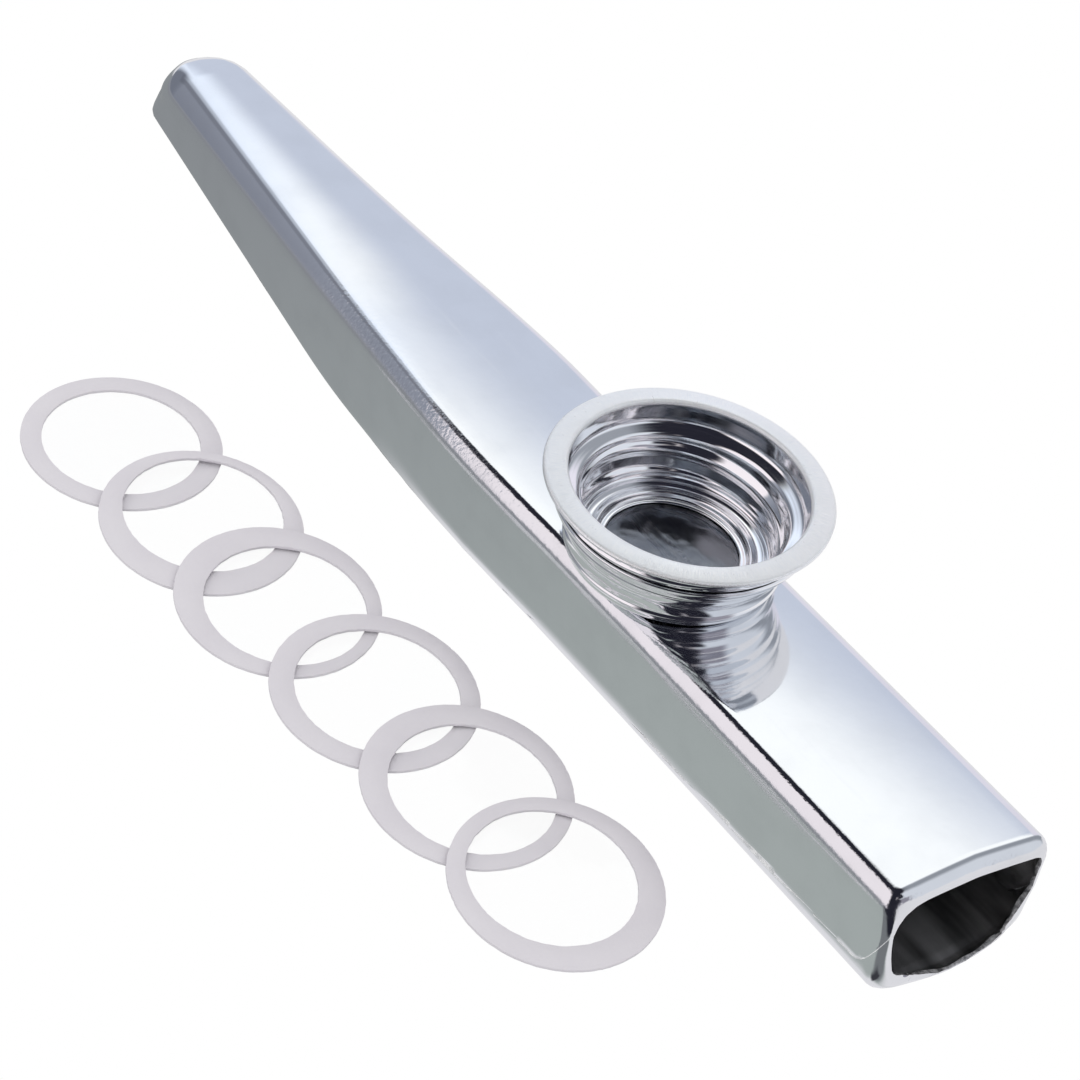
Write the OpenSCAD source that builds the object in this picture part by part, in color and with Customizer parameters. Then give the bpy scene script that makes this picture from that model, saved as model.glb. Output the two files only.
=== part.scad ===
// Metal kazoo with a screw-in turret cap, its membrane and six spare membranes.
// +X runs from the mouth end to the open front end, +Z is up, and the origin
// is on the flat underside, below the axis of the turret. Millimetres.

/* [Body] */
// From the turret axis to the open front end
body_front = 41; // [36:1:48]
// From the turret axis to the mouth end
body_back = 79; // [70:1:90]
// Width of the parallel front part
body_w = 17; // [15.5:0.5:20]
// Height of the parallel front part
body_h = 10.4; // [9.5:0.1:13]
// Width at the mouth end, before its corners are rounded
mouth_w = 9; // [8:0.5:12]
// Height at the mouth end
mouth_h = 6.1; // [5.6:0.1:8]
// From the turret axis back to where the sides start to draw in
side_bend = 25.5; // [20:0.5:34]
// From the turret axis back to where the underside starts to rise
keel_bend = 39.7; // [30:0.5:46]
// Half the length over which each bend is blended
bend_blend = 4; // [2:0.5:8]
// Thickness of the shell metal
wall = 0.5; // [0.4:0.05:0.8]
// Rounding of the long edges at the front part
edge_r = 1.75; // [1.4:0.05:2.5]
// Rounding of the long edges at the mouth end
mouth_edge_r = 2.4; // [1.8:0.1:2.6]
// Radius of the mouth end's corners, seen from above
mouth_round_r = 3.4; // [2.6:0.1:3.8]
// Radius of the turned-in lip round the open front
lip_r = 1.3; // [1.1:0.1:1.5]
// Width of the slot that is hummed into
slot_w = 5.2; // [4:0.1:6]
// Height of that slot
slot_h = 2.3; // [2:0.1:2.6]

/* [Seam between the shells] */
// Height of the seam above the underside, at the front
seam_front = 2.4; // [1.6:0.1:3]
// Height of the seam above the underside, behind the turret
seam_back = 0.7; // [0.6:0.1:1.2]
// Height that the seam climbs at the front corners
seam_climb = 4.2; // [1:0.1:4.5]
// Length over which the seam climbs there
seam_climb_l = 3; // [2:0.5:6]
// Clearance between the two shells
seam_gap = 0.05; // [0.02:0.01:0.1]
// Thickness of the lower shell's edge where it laps inside the upper shell
lap_t = 0.4; // [0.3:0.05:0.6]
// Height of that lap above the seam
lap_h = 1.5; // [1:0.1:2.5]

/* [Turret socket] */
// How far the sound hole's edge stands in from the hole in the cap's flange
hole_in = 0.6; // [0.3:0.1:1]
// Thickness of the socket's metal
socket_t = 0.4; // [0.3:0.05:0.5]
// How far the socket's top edge stands in from the cap's rim
socket_in = 0.9; // [0.7:0.05:1.1]
// How far the socket flares out from its foot to its top edge
socket_flare = 1.9; // [1.7:0.05:2.1]
// Height of the socket
socket_h = 5.7; // [5:0.1:6.4]
// Height of each rolled ridge above the socket's foot
ridge_low_z = 1.15; // [1:0.05:1.5]
ridge_high_z = 4.3; // [4:0.1:4.6]
// How far a rolled ridge stands out
ridge_out = 0.16; // [0.1:0.01:0.25]
// Half the height of a rolled ridge
ridge_half = 0.35; // [0.25:0.05:0.5]

/* [Turret cap] */
// How far the flared rim stands out past each side of the body
rim_over = 3.8; // [3.5:0.1:4.4]
// Width of the rim, from its edge to the throat inside it
rim_w = 1.95; // [1.8:0.05:2.2]
// Height of the rim's top above the body's top face
rim_z = 8.3; // [8:0.1:9.5]
// Thickness of the rim
rim_t = 0.45; // [0.35:0.05:0.6]
// Depth of the shoulder below the rim
shoulder_depth = 2.15; // [1.9:0.05:2.3]
// Thickness of the cap's metal
cap_t = 0.35; // [0.3:0.05:0.45]
// Radial clearance between the cap and the socket's top edge
cap_clear = 0.06; // [0.03:0.01:0.1]
// How far the upper thread turn stands in from the throat
thread_in = 1.35; // [1.2:0.05:1.5]
// How far the lower thread turn stands in from the upper one
thread_step = 0.5; // [0.4:0.05:0.6]
// Rise of the cap in one turn
thread_pitch = 2.6; // [2:0.1:3]
// How far the cap's bottom flange reaches in from the lower thread turn
flange_w = 2; // [1.6:0.05:2.2]
// Height of the flange above the membrane at its outer edge
flange_z = 0.07; // [0.03:0.01:0.15]

/* [Membranes] */
// Clearance round the fitted membrane in the socket
ring_clear = 0.1; // [0.05:0.05:0.3]
// Width of a membrane's paper ring
ring_w = 1.95; // [1.6:0.05:2.3]
// Thickness of a paper ring
ring_t = 0.3; // [0.2:0.05:0.4]
// How far the clear film's edge stands in from the paper ring's edge
film_in = 0.4; // [0.3:0.05:1]
// Thickness of the film
film_t = 0.06; // [0.04:0.01:0.1]
// Place of the first spare membrane
spare_x = -40.9; // [-45:0.1:-36]
spare_y = -28.7; // [-34:0.1:-26]
// Step from one spare membrane to the next
spare_step_x = 12.1; // [11.5:0.1:13]
spare_step_y = 0.86; // [0:0.02:1.2]
// Clearance between spare membranes that lie on each other
spare_gap = 0.1; // [0.06:0.01:0.2]

/* [Hidden] */
$fn = 96;
chrome = [0.80, 0.82, 0.86];
bright_chrome = [0.88, 0.90, 0.93];
paper = [0.90, 0.89, 0.93];
clear_film = [0.85, 0.90, 0.95, 0.35];

// Overrun of every cut past the face that it opens
over = 1;
// Arc steps in a quarter of a rounded corner
corner_steps = 6;
// Steps along the tapered part of the body
span_steps = 14;
// Slopes of the sides and of the underside behind their bends
side_slope = (body_w - mouth_w) / 2 / (body_back - side_bend);
keel_slope = (body_h - mouth_h) / (body_back - keel_bend);
// The mouth end's top and bottom edges are rounded less than its corners
mouth_top_r = mouth_round_r * 2 / 3;
mouth_low_r = mouth_round_r / 5;
// The least rounding of a section
least_r = wall / 10;
// Radii of the turret, each worked out from the one outside it
rim_r = body_w / 2 + rim_over;
throat_r = rim_r - rim_w;
thread_top_r = throat_r - thread_in;
thread_low_r = thread_top_r - thread_step;
flange_r = thread_low_r - flange_w;
hole_r = flange_r - hole_in;
socket_top_r = rim_r - socket_in;
socket_foot_r = socket_top_r - socket_flare;
// Radii of a membrane, which just fits the socket
ring_r = socket_foot_r - socket_t - ring_clear;
ring_hole_r = ring_r - ring_w;
film_r = ring_r - film_in;
// Where the front lip starts to turn in
lip_x = body_front - lip_r;
// Shares of the side's height where its outline has a corner
side_shares = [0, 0.05, 0.1, 0.2, 0.35, 0.6, 1];

// A bend is a parabola: level before it, straight after it
function soft(d, b) = d <= -b ? 0 : d >= b ? d : (d + b) * (d + b) / (4 * b);
// Drop of the rounded mouth end, of radius r, at x
function drop(x, r) =
    let (d = max(0, min(r, r - body_back - x)))
    r - sqrt(max(0, r * r - d * d));
function half_w(x) = body_w / 2 - side_slope * soft(-side_bend - x, bend_blend)
    - drop(x, mouth_round_r);
function top_z(x) = body_h - drop(x, mouth_top_r);
function base_z(x) = keel_slope * soft(-keel_bend - x, bend_blend) + drop(x, mouth_low_r);
function round_at(x) = min(half_w(x) * 0.9, (top_z(x) - base_z(x)) * 0.45,
    edge_r + (mouth_edge_r - edge_r)
        * max(0, min(1, (-side_bend - x) / (body_back - side_bend))));
// Height of the seam between the shells
function seam_z(x) = base_z(x) + seam_back
    + (seam_front - seam_back) * max(0, min(1, (x + side_bend) / (body_front + side_bend)))
    + seam_climb * pow(max(0, min(1, (x - body_front + seam_climb_l) / seam_climb_l)), 2);

// A row is one section across the body: the outer skin's x and inset, the
// inner skin's x and inset, and the x that the section's shape is taken from
rows = concat(
    [for (a = [90:-22.5:22.5])
        let (x = -body_back + (a == 90 ? 0 : wall) * 0.5 * (90 - a) / 22.5)
        [x, 0, x, wall, x]],
    [for (a = [67.5:-22.5:0])
        let (x = wall * 2 - body_back + (mouth_round_r - wall * 2) * (1 - sin(a)))
        [x, 0, x, wall, x]],
    [for (i = [1:span_steps])
        let (x = mouth_round_r - body_back
            + (body_back - mouth_round_r - side_bend + bend_blend) * i / span_steps)
        [x, 0, x, wall, x]],
    [for (q = [1, 0.75, 0.5])
        let (x = body_front - seam_climb_l * q)
        [x, 0, x, wall, x]],
    [for (a = [0:22.5:90])
        [lip_x + lip_r * sin(a), lip_r * (1 - cos(a)),
         lip_x + (lip_r - wall) * sin(a), lip_r - (lip_r - wall) * cos(a), lip_x]]);
// The mouth end is closed up to this row
first_open = 2;
row_count = len(rows);

// Points of the half section on the +Y side, drawn in by inset
function corner_y(s) = half_w(s) - round_at(s);
function side_y(s, inset, z) = corner_y(s) + sqrt(max(least_r * least_r,
    pow(max(least_r, round_at(s) - inset), 2)
    - pow(max(0, base_z(s) + round_at(s) - z), 2)));
function upper_half(x, s, inset, low) =
    let (r = round_at(s), high = top_z(s) - r, ri = max(least_r, r - inset))
    concat(
        [for (q = side_shares)
            let (z = low + q * (high - low)) [x, side_y(s, inset, z), z]],
        [for (i = [1:corner_steps])
            let (a = 90 * i / corner_steps)
            [x, corner_y(s) + ri * cos(a), high + ri * sin(a)]]);
// Inset of the sides and of the floor differ where the lap doubles the sides
function lower_half(x, s, side_inset, floor_inset, low) =
    let (r = round_at(s), ry = max(least_r, r - side_inset),
         rz = max(least_r, r - floor_inset), z0 = base_z(s) + r,
         a0 = asin(max(0, min(1, (z0 - low) / rz))))
    [for (i = [1:corner_steps])
        let (a = a0 + (90 - a0) * i / corner_steps)
        [x, corner_y(s) + ry * cos(a), z0 - rz * sin(a)]];
function mirrored(points) = [for (i = [len(points) - 1:-1:0])
    [points[i][0], -points[i][1], points[i][2]]];
function flipped(points) = [for (i = [len(points) - 1:-1:0]) points[i]];

// Faces between two neighbouring rows of n points, for the points listed
function skin(k, n, js) = [for (j = js, half = [0, 1])
    let (a = k * n + j, b = k * n + (j + 1) % n)
    half == 0 ? [a, a + n, b + n] : [a, b + n, b]];

upper_m = 2 * (len(side_shares) + corner_steps);
function upper_row(row) =
    let (low = seam_z(row[0]) + seam_gap / 2,
         outer = upper_half(row[0], row[4], row[1], low),
         inner = upper_half(row[2], row[4], row[3], low))
    concat(outer, mirrored(outer), flipped(concat(inner, mirrored(inner))));

module upper_skin() {
    m = upper_m;
    n = 2 * m;
    f = first_open * n;
    e = (row_count - 1) * n;
    points = [for (row = rows) each upper_row(row)];
    nose = [for (k = [0:first_open - 1]) each skin(k, n, [0:m - 2])];
    base = [for (k = [0:first_open - 2]) each
        [[k * n + m - 1, (k + 1) * n + m - 1, (k + 1) * n], [k * n + m - 1, (k + 1) * n, k * n]]];
    step = [[f - n + m - 1, f + m - 1, f + m, f + n - 1, f, f - n]];
    inside = [[for (j = [m:n - 1]) f + j]];
    long = [for (k = [first_open:row_count - 2]) each skin(k, n, [0:n - 1])];
    front = [for (j = [0:m - 2]) each
        [[e + j + 1, e + j, e + n - 1 - j], [e + j + 1, e + n - 1 - j, e + n - 2 - j]]];
    polyhedron(points, concat([[for (j = [0:m - 1]) j]], nose, base, step, inside, long, front));
}

lower_m = 2 * (corner_steps + 1);
function lap_point(row, inset, z) = [row[2], side_y(row[4], inset, z), z];
function lower_row(row) =
    let (low = seam_z(row[0]) - seam_gap / 2,
         high = low + lap_h,
         near = row[3] + seam_gap,
         far = near + lap_t,
         outer = concat([[row[0], side_y(row[4], row[1], low), low]],
            lower_half(row[0], row[4], row[1], row[1], low)),
         inner = concat([lap_point(row, near, low), lap_point(row, near, high),
            lap_point(row, far, high), lap_point(row, far, low)],
            lower_half(row[2], row[4], far, row[3], low)))
    concat(flipped(mirrored(outer)), flipped(outer), inner, mirrored(inner));

module lower_skin() {
    c = corner_steps;
    m = lower_m;
    n = m + 2 * (c + 4);
    f = first_open * n;
    e = (row_count - 1) * n;
    points = [for (row = rows) each lower_row(row)];
    nose = [for (k = [0:first_open - 1]) each skin(k, n, [0:m - 2])];
    lid = [for (k = [0:first_open - 2]) each
        [[k * n + m - 1, (k + 1) * n + m - 1, (k + 1) * n], [k * n + m - 1, (k + 1) * n, k * n]]];
    step = [[f - n + m - 1, f + m - 1, f + m, f + m + 3, f + n - 4, f + n - 1, f, f - n]];
    inside = [[for (j = [m + 3:n - 4]) f + j]];
    laps = [[f + m, f + m + 1, f + m + 2, f + m + 3], [f + n - 4, f + n - 3, f + n - 2, f + n - 1]];
    long = [for (k = [first_open:row_count - 2]) each skin(k, n, [0:n - 1])];
    // At the front, outer point m - 1 - i is paired with inner point m + 3 + i
    front = [for (i = [1:m - 3]) each
        [[e + m + 4 + i, e + m + 3 + i, e + m - 1 - i],
         [e + m + 4 + i, e + m - 1 - i, e + m - 2 - i]]];
    ends = [[e + m + 4, e + m + 3, e + m], [e + m + 4, e + m, e + m - 1],
            [e + m + 4, e + m - 1, e + m - 2], [e + m + 3, e + m + 2, e + m + 1, e + m],
            [e + n - 1, e + n - 4, e + n - 5], [e, e + n - 1, e + n - 5],
            [e + 1, e, e + n - 5], [e + n - 1, e + n - 2, e + n - 3, e + n - 4]];
    polyhedron(points, concat([[for (j = [0:m - 1]) j]], nose, lid, step, inside, laps,
        long, front, ends));
}

// Slot through the mouth end that is hummed into
module mouth_slot() {
    depth = 2 * wall + over;
    translate([-body_back - over, -slot_w / 2, seam_z(-body_back) + wall])
        cube([depth, slot_w, slot_h]);
}

module upper_shell() {
    color(chrome)
        difference() {
            upper_skin();
            mouth_slot();
            translate([0, 0, body_h - wall - over])
                cylinder(r = hole_r, h = wall + 2 * over);
        }
}

module lower_shell() {
    color(chrome)
        lower_skin();
}

// Outline of bent sheet metal: a path and its copy set off to the left by t
function unit(v) = v / norm(v);
function left_of(v) = [-v[1], v[0]];
function mitre(path, i, t) =
    let (a = unit(path[max(1, i)] - path[max(0, i - 1)]),
         b = unit(path[min(len(path) - 1, i + 1)] - path[min(len(path) - 2, i)]),
         m = unit(left_of(a) + left_of(b)))
    path[i] + m * t / (m * left_of(a));
function sheet(path, t) = concat(path,
    [for (i = [len(path) - 1:-1:0]) mitre(path, i, t)]);
function arc(c, r, from, to, steps) = [for (i = [0:steps])
    let (a = from + (to - from) * i / steps) c + r * [cos(a), sin(a)]];
// Smooth step from 0 to 1
function ease(s) = (1 - cos(180 * max(0, min(1, s)))) / 2;
function ridge(z, z0) = abs(z - z0) >= ridge_half ? 0
    : ridge_out * (1 + cos(180 * (z - z0) / ridge_half)) / 2;

socket_corner_r = 1.25 * socket_t;
socket_land_h = ridge_half * 2;
// Steps along the flared wall of the socket
socket_steps = 24;
function socket_wall_r(z) = socket_foot_r
    + (socket_top_r - socket_foot_r) * pow(ease(z / (socket_h - socket_land_h) ), 0.8)
    + ridge(z, ridge_low_z) + ridge(z, ridge_high_z);

// Spun cup with two rolled ridges, whose top edge guides the cap
module turret_socket() {
    wall_low = socket_corner_r;
    wall_high = socket_h - socket_land_h;
    path = concat(
        [[hole_r, 0]],
        arc([socket_foot_r - socket_corner_r, socket_corner_r], socket_corner_r, -90, 0, 5),
        [for (i = [1:socket_steps])
            let (z = wall_low + (wall_high - wall_low) * i / socket_steps)
            [socket_wall_r(z), z]],
        [[socket_top_r, socket_h]]);
    color(chrome)
        translate([0, 0, body_h])
            rotate_extrude()
                polygon(sheet(path, socket_t));
}

membrane_z = body_h + socket_t;
membrane_h = film_t + ring_t;
flange_low_z = socket_t + membrane_h + flange_z;
shoulder_z = rim_z - shoulder_depth;
// The cap's land reaches down inside the socket's top edge, which guides it
cap_land_r = socket_top_r - socket_t - cap_clear;
cap_land_z = socket_h - socket_land_h / 2;
// Steps in each curve of the cap's wall
cap_steps = 8;
function curve_down(r0, z0, r1, z1) = [for (i = [0:cap_steps])
    let (s = i / cap_steps) [r0 + (r1 - r0) * ease(s), z0 + (z1 - z0) * s]];

// Spun cap: flared rim, throat, two rolled thread turns and a bottom flange
module turret_cap() {
    turn_h = thread_pitch / 2;
    floor_z = flange_low_z + cap_t;
    corner_r = cap_t;
    path = concat(
        [[rim_r - rim_t / 2, rim_z]],
        arc([throat_r + cap_t, rim_z - cap_t], cap_t, 90, 180, 5),
        curve_down(throat_r, shoulder_z, thread_top_r, shoulder_z - cap_t),
        curve_down(thread_top_r, shoulder_z - turn_h, thread_low_r, shoulder_z - thread_pitch),
        arc([thread_low_r - 2 * corner_r, floor_z + corner_r], corner_r, 0, -90, 4),
        [[flange_r, floor_z - cap_t / 2]]);
    outer = [for (i = [len(path) - 1:-1:1]) mitre(path, i, cap_t)];
    wall_points = [for (p = outer) if (p[1] < shoulder_z - cap_t) p];
    color(bright_chrome)
        translate([0, 0, body_h])
            rotate_extrude()
                polygon(concat(
                    path,
                    [[flange_r, flange_low_z]],
                    [for (p = wall_points) [p[0], max(p[1], flange_low_z)]],
                    [[cap_land_r - cap_t, cap_land_z],
                     [cap_land_r, cap_land_z + cap_t / 2],
                     [cap_land_r, rim_z - 2 * rim_t],
                     [cap_land_r + rim_t, rim_z - rim_t]],
                    arc([rim_r - rim_t / 2, rim_z - rim_t / 2], rim_t / 2, -90, 80, 6)));
}

// Paper ring whose hole may lie off its centre
module paper_ring(hole_offset) {
    color(paper)
        translate([0, 0, film_t])
            difference() {
                cylinder(r = ring_r, h = ring_t);
                translate([hole_offset[0], hole_offset[1], -over])
                    cylinder(r = ring_hole_r, h = ring_t + 2 * over);
            }
}

module film() {
    color(clear_film)
        cylinder(r = film_r, h = film_t);
}

// Places of the spare membranes off the straight row, and of the holes off
// the centres, both as shares of the ring's radius
spare_place_shares = [[0, 0], [0, 0.027], [-0.067, -0.013],
                      [0.022, 0.08], [0, 0.04], [0, 0]];
spare_hole_shares = [[-0.035, 0.01], [0.04, 0.06], [0.055, 0.045],
                     [-0.005, 0.03], [0.04, 0.025], [-0.085, 0.01]];
least_step_x = spare_step_x + min([for (i = [1:5])
    ring_r * (spare_place_shares[i][0] - spare_place_shares[i - 1][0])]);
spare_tilt = atan((membrane_h + spare_gap) / least_step_x);

// The first spare lies flat, and each further one leans on the one before it
module spare(i) {
    place = ring_r * spare_place_shares[i - 1];
    translate([spare_x + spare_step_x * (i - 1) + place[0] + ring_r,
               spare_y + spare_step_y * (i - 1) + place[1], 0])
        rotate([0, i == 1 ? 0 : spare_tilt, 0])
            translate([-ring_r, 0, 0])
                children();
}

module membrane_ring() {
    translate([0, 0, membrane_z])
        paper_ring([0, 0]);
}

module membrane_film() {
    translate([0, 0, membrane_z])
        film();
}

upper_shell();
lower_shell();
turret_socket();
turret_cap();
membrane_ring();
membrane_film();
for (i = [1:6]) {
    spare(i) paper_ring(ring_r * spare_hole_shares[i - 1]);
    spare(i) film();
}
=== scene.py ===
"""A chromed metal kazoo with its turret cap, and six spare membranes beside it."""
import math
from collections import namedtuple

import bmesh
import bpy
from mathutils import Matrix, Vector, geometry, noise


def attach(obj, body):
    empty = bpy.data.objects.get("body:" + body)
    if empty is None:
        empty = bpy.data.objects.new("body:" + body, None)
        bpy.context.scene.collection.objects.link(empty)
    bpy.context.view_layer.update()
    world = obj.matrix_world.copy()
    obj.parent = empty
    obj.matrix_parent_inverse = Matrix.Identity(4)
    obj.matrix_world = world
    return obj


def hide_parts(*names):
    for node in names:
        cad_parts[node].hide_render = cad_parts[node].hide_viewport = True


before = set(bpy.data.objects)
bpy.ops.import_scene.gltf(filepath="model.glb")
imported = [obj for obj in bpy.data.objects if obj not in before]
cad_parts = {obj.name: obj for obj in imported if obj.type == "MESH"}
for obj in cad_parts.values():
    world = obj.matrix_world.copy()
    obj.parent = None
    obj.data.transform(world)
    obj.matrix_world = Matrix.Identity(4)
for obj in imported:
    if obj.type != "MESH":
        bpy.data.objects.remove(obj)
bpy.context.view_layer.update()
MM = 0.001

# Camera, at the photo's own viewpoint
SENSOR, LENS = 36, 112.174
NEAREST, FARTHEST = 0.02, 10
CAMERA_AT = (0.146319, -0.163735, 0.193995)
RIGHT = Vector((0.577846, 0.794299, 0.18757))
DOWN = Vector((0.615044, -0.272734, -0.739822))
AHEAD = Vector((-0.536484, 0.542867, -0.646127))


def photo_camera():
    lens = bpy.data.cameras.new("camera")
    camera = bpy.data.objects.new("camera", lens)
    bpy.context.scene.collection.objects.link(camera)
    lens.sensor_width, lens.lens = SENSOR, LENS
    lens.clip_start, lens.clip_end = NEAREST, FARTHEST
    turn = Matrix((RIGHT, -DOWN, -AHEAD)).transposed().to_4x4()
    camera.matrix_world = Matrix.Translation(CAMERA_AT) @ turn
    bpy.context.scene.camera = camera


photo_camera()
bpy.context.scene.view_settings.view_transform = "Standard"


# Shader writing
class Wire:
    """A value in a node tree, with arithmetic that adds its own Math nodes."""

    def __init__(self, tree, socket=None):
        self.tree, self.socket = tree, socket

    def node(self, kind, settings=None, inputs=None, output=0):
        """One output of a new node, whose settings go in before its inputs."""
        made = self.tree.nodes.new(kind)
        for key, value in (settings or {}).items():
            setattr(made, key, value)
        for key, value in (inputs or {}).items():
            if isinstance(value, Wire):
                self.tree.links.new(value.socket, made.inputs[key])
            else:
                made.inputs[key].default_value = value
        return Wire(self.tree, made.outputs[output] if len(made.outputs) else None)

    def other(self, output):
        """Another output of the node that this value comes from."""
        return Wire(self.tree, self.socket.node.outputs[output])

    def math(self, operation, a, b=0.0):
        return self.node("ShaderNodeMath", {"operation": operation}, {0: a, 1: b})

    def __add__(self, other):
        return self.math("ADD", self, other)

    def __radd__(self, other):
        return self.math("ADD", other, self)

    def __sub__(self, other):
        return self.math("SUBTRACT", self, other)

    def __rsub__(self, other):
        return self.math("SUBTRACT", other, self)

    def __mul__(self, other):
        return self.math("MULTIPLY", self, other)

    def __rmul__(self, other):
        return self.math("MULTIPLY", other, self)

    def larger(self, other):
        """The larger of two values, which joins two masks."""
        return self.math("MAXIMUM", self, other)

    def fade(self, start, end):
        """0 up to start and 1 past end, or the other way round where end is the lower."""
        return self.node("ShaderNodeMapRange", {"interpolation_type": "SMOOTHSTEP"},
                         {"Value": self, "From Min": start, "From Max": end})

    def band(self, low, start, end, high):
        """1 from start to end, fading to 0 at low and at high."""
        return self.fade(low, start) * self.fade(high, end)

    def mix(self, a, b):
        """Colour a where this value is 0, and colour b where it is 1."""
        return self.node("ShaderNodeMix", {"data_type": "RGBA"},
                         {0: self, 6: a, 7: b}, output=2)

    def place(self):
        """Object coordinates."""
        return self.node("ShaderNodeTexCoord", output=3)

    def parts(self):
        first = self.node("ShaderNodeSeparateXYZ", inputs={0: self})
        return [first, first.other(1), first.other(2)]

    def joined(self, x, y, z=0.0):
        return self.node("ShaderNodeCombineXYZ", inputs={0: x, 1: y, 2: z})

    def grain(self, scale, detail=2.0, at=None, stretch=(1, 1, 1), rough=0.5):
        """Noise from 0 to 1, with scale in features per metre."""
        at = at or self.place()
        if stretch != (1, 1, 1):
            at = at.node("ShaderNodeMapping", inputs={"Vector": at, "Scale": stretch})
        return self.node("ShaderNodeTexNoise", inputs={
            "Vector": at, "Scale": scale, "Detail": detail, "Roughness": rough})

    def bump(self, height, strength, distance):
        """A bump of the height, with distance in millimetres."""
        return self.node("ShaderNodeBump", inputs={
            "Height": height, "Strength": strength, "Distance": distance * MM})


def rgb(r, g, b):
    return (r, g, b, 1.0)


def material(name):
    """A new material, its Wire and its Principled node."""
    made = bpy.data.materials.new(name)
    made.use_nodes = True
    return made, Wire(made.node_tree), made.node_tree.nodes["Principled BSDF"]


def feed(wire, shader, **inputs):
    for key, value in inputs.items():
        socket = shader.inputs[key.replace("_", " ")]
        if isinstance(value, Wire):
            wire.tree.links.new(value.socket, socket)
        else:
            socket.default_value = value


# Finishes. In metres: the heights of the body's upper edge and of the shoulder under it
EDGE_BAND = (0.0082, 0.009, 0.0099, 0.0103)
SHOULDER_BAND = (0.0076, 0.0084, 0.0092, 0.0097)
# The upper edge is grainy in front of this place
GRAIN_FROM = (-0.05, -0.04)
# Height of the cap's brushed rim, and where its turned wall shows outside
RIM_FROM = (0.01815, 0.01845)
WALL_FROM, WALL_BAND = (0.0104, 0.0107), (0.0158, 0.016, 0.0178, 0.018)


def plated_sheet():
    """Polished plated sheet: faint waves from pressing, fine haze and a few rubs."""
    made, w, shader = material("plated_sheet")
    colour = (0.80, 0.815, 0.84)
    haze = w.grain(260, 3).fade(0.35, 0.8)
    rubs = w.grain(900, 2, stretch=(0.08, 1, 1)).fade(0.62, 0.78)
    x, _, z = w.place().parts()
    waves = w.grain(45, 1.5) + w.grain(160, 1) * 0.15 + w.grain(1500, 2) * 0.02
    waves = waves + w.grain(2600, 3) * z.band(*EDGE_BAND) * x.fade(*GRAIN_FROM) * 0.4
    dull = haze * 0.05 + rubs * 0.08 + z.band(*SHOULDER_BAND) * 0.12 + 0.05
    tint = (haze * 0.6).mix(rgb(*colour), rgb(*[c * 0.93 for c in colour]))
    feed(w, shader, Base_Color=tint, Metallic=1.0, Roughness=dull,
         Normal=w.bump(waves, 1.0, 0.05))
    return made


def turned_metal():
    """Bright turned metal: rings round the axis, and a brushed rim."""
    made, w, shader = material("turned_metal")
    x, y, z = w.place().parts()
    radius = w.math("SQRT", x * x + y * y)
    angle = w.math("ARCTAN2", y, x)
    rings = w.grain(300, 2, at=w.joined(radius * 9.0, z * 9.0))
    spokes = w.grain(9, 3, at=w.joined(angle * 20.0, radius * 120.0), rough=0.65)
    rim = z.fade(*RIM_FROM)
    rough = rim * (spokes * 0.3 + 0.1) + 0.06 + w.grain(420, 2) * 0.05
    tint = rim.mix(rgb(0.91, 0.92, 0.94), rgb(0.97, 0.98, 0.98))
    tint = (rim * spokes.fade(0.35, 0.8)).mix(tint, rgb(0.87, 0.90, 0.93))
    outside = radius.fade(*WALL_FROM) * z.band(*WALL_BAND)
    height = rings * (outside * 0.6 + 0.35) + rim * spokes * 2.2
    feed(w, shader, Base_Color=tint, Metallic=1 - rim * 0.4, Roughness=rough,
         Normal=w.bump(height, 1.0, 0.02))
    return made


def dark_inside():
    """The inside of the tube: near-black metal with lighter streaks."""
    made, w, shader = material("dark_inside")
    streaks = w.grain(300, 3, stretch=(0.15, 1, 1))
    colour = streaks.fade(0.3, 0.7).mix(rgb(0.08, 0.08, 0.085), rgb(0.6, 0.6, 0.61))
    feed(w, shader, Base_Color=colour, Metallic=0.9, Roughness=streaks * 0.2 + 0.3,
         Normal=w.bump(streaks, 1.0, 0.02))
    return made


def cut_edge(name, light, dark, metallic):
    """The cut edge of a sheet, or the strip under the seam that is a painted highlight."""
    made, w, shader = material(name)
    # On the strip under the seam, this noise only mottles the painted highlight
    rubs = w.grain(1800, 4, rough=0.7)
    tint = rubs.fade(0.35, 0.65).mix(rgb(*light), rgb(*dark))
    feed(w, shader, Base_Color=tint, Metallic=metallic, Roughness=rubs * 0.2 + 0.3,
         Normal=w.bump(rubs, 1.0, 0.05))
    return made


def coated_paper():
    """Matte white paper with faint fibres and clouds."""
    made, w, shader = material("coated_paper")
    fibres = w.grain(2600, 4, rough=0.7)
    clouds = w.grain(180, 2)
    colour = (clouds * 0.7 + fibres * 0.3).mix(rgb(0.66, 0.63, 0.68), rgb(0.76, 0.74, 0.77))
    feed(w, shader, Base_Color=colour, Roughness=0.62, Specular_IOR_Level=0.3,
         Normal=w.bump(fibres + clouds * 0.5, 0.6, 0.03))
    return made


def clear_film(name, gloss, colour):
    """Thin clear film: nearly all of the light goes through."""
    made, w, shader = material(name)
    ripple = w.grain(320, 2)
    sheen = w.node("ShaderNodeBsdfGlossy", inputs={
        "Color": rgb(*colour), "Roughness": 0.12,
        "Normal": w.bump(ripple, 0.8, 0.12)})
    clear = w.node("ShaderNodeBsdfTransparent", inputs={"Color": rgb(0.995, 0.995, 0.995)})
    mottle = (w.grain(240, 3) * 0.5 + 0.6) * gloss
    mixed = w.node("ShaderNodeMixShader", inputs={0: mottle, 1: clear, 2: sheen})
    out = next(n for n in made.node_tree.nodes if n.type == "OUTPUT_MATERIAL")
    made.node_tree.links.new(mixed.socket, out.inputs[0])
    made.node_tree.nodes.remove(shader)
    return made


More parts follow.
